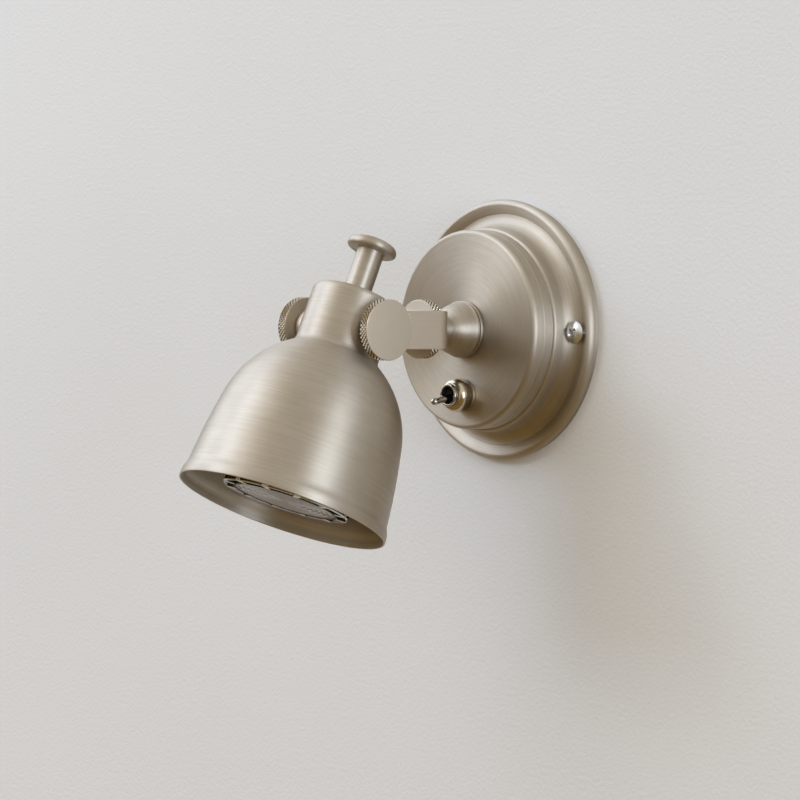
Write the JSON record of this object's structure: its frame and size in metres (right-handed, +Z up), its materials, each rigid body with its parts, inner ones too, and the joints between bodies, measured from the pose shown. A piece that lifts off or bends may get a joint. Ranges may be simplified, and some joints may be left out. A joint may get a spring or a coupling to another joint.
{
  "type": "wall lamp",
  "caption": "Wall lamp with a round stepped backplate, toggle switch, swivelling yoke with knurled knobs and a tilting bell shade over a reflector bulb.",
  "frame": {"origin": "centre of the cable entry on the wall face, in the middle of the round backplate", "axes": "+Y into the wall, -Y out into the room, +X to the right along the wall, +Z up"},
  "size_m": [0.105, 0.154, 0.1378],
  "materials": {
    "satin_nickel": "satin brushed nickel plate, spun and turned grain",
    "zinc_steel": "zinc plated steel",
    "bright_steel": "bright nickel plated steel",
    "chrome": "polished chrome plate",
    "brass": "machined brass",
    "white_plastic": "moulded, slightly matt",
    "white_ceramic": "unglazed steatite",
    "black_plastic": "moulded, matt",
    "rubber": "soft matt rubber",
    "bulb_metal": "bright cast aluminium",
    "frosted_lens": "frosted diffuser"
  },
  "bodies": {
    "base": {"wall_bracket": "zinc_steel", "terminal_block": "white_plastic", "terminal_screws": "brass", "block_screw": "zinc_steel", "earth_screw": "brass", "backplate": "satin_nickel", "cover_screws": "bright_steel", "hub": "satin_nickel", "threaded_tube": "zinc_steel", "tube_washer": "zinc_steel", "tube_nut": "brass", "tube_bush": "black_plastic", "yoke_washer": "zinc_steel", "yoke_nut": "zinc_steel", "switch_body": "black_plastic", "switch_sleeve": "chrome", "switch_terminals": "brass", "switch_lock_nut": "zinc_steel", "switch_dome_nut": "satin_nickel"},
    "collar": {"swivel_collar": "satin_nickel"},
    "yoke": {"yoke": "satin_nickel"},
    "head": {"pivot_bosses": "brass", "friction_washers": "black_plastic", "shade": "satin_nickel", "aiming_post": "satin_nickel", "post_nut": "zinc_steel", "holder_bracket": "zinc_steel", "bracket_nuts": "zinc_steel", "lamp_holder": "white_ceramic", "holder_screws": "zinc_steel", "lead_grommet": "rubber"},
    "left_knob": {"left_knob": "satin_nickel"},
    "right_knob": {"right_knob": "satin_nickel"},
    "bulb": {"bulb_base": "white_plastic", "bulb_pins": "bright_steel", "bulb_housing": "white_plastic", "bulb_rim": "bulb_metal", "bulb_lens": "frosted_lens"},
    "lever": {"switch_lever": "chrome"}
  },
  "joints": [
    {"name": "yoke_swivel", "type": "hinge", "parent": "base", "child": "yoke", "pos_m": [0, -0.05, 0], "axis": [0, -1, 0], "range_deg": [-170, 170]},
    {"name": "head_tilt", "type": "hinge", "parent": "yoke", "child": "head", "pos_m": [0, -0.0867, 0], "axis": [-1, 0, 0], "range_deg": [-38, 35]},
    {"name": "collar_turn", "type": "hinge", "parent": "base", "child": "collar", "pos_m": [0, -0.0465, 0], "axis": [0, -1, 0], "range_deg": [-180, 180]},
    {"name": "left_knob_turn", "type": "hinge", "parent": "head", "child": "left_knob", "pos_m": [-0.024, -0.0867, 0], "axis": [-1, 0, 0], "range_deg": [-180, 180]},
    {"name": "right_knob_turn", "type": "hinge", "parent": "head", "child": "right_knob", "pos_m": [0.024, -0.0867, 0], "axis": [1, 0, 0], "range_deg": [-180, 180]},
    {"name": "bulb_twist", "type": "hinge", "parent": "head", "child": "bulb", "pos_m": [0, -0.0867, 0], "axis": [0, -0.3923, -0.9198], "range_deg": [0, 25]},
    {"name": "switch_toggle", "type": "hinge", "parent": "base", "child": "lever", "pos_m": [0, -0.0262, -0.0262], "axis": [-1, 0, 0], "range_deg": [0, 22]}
  ]
}
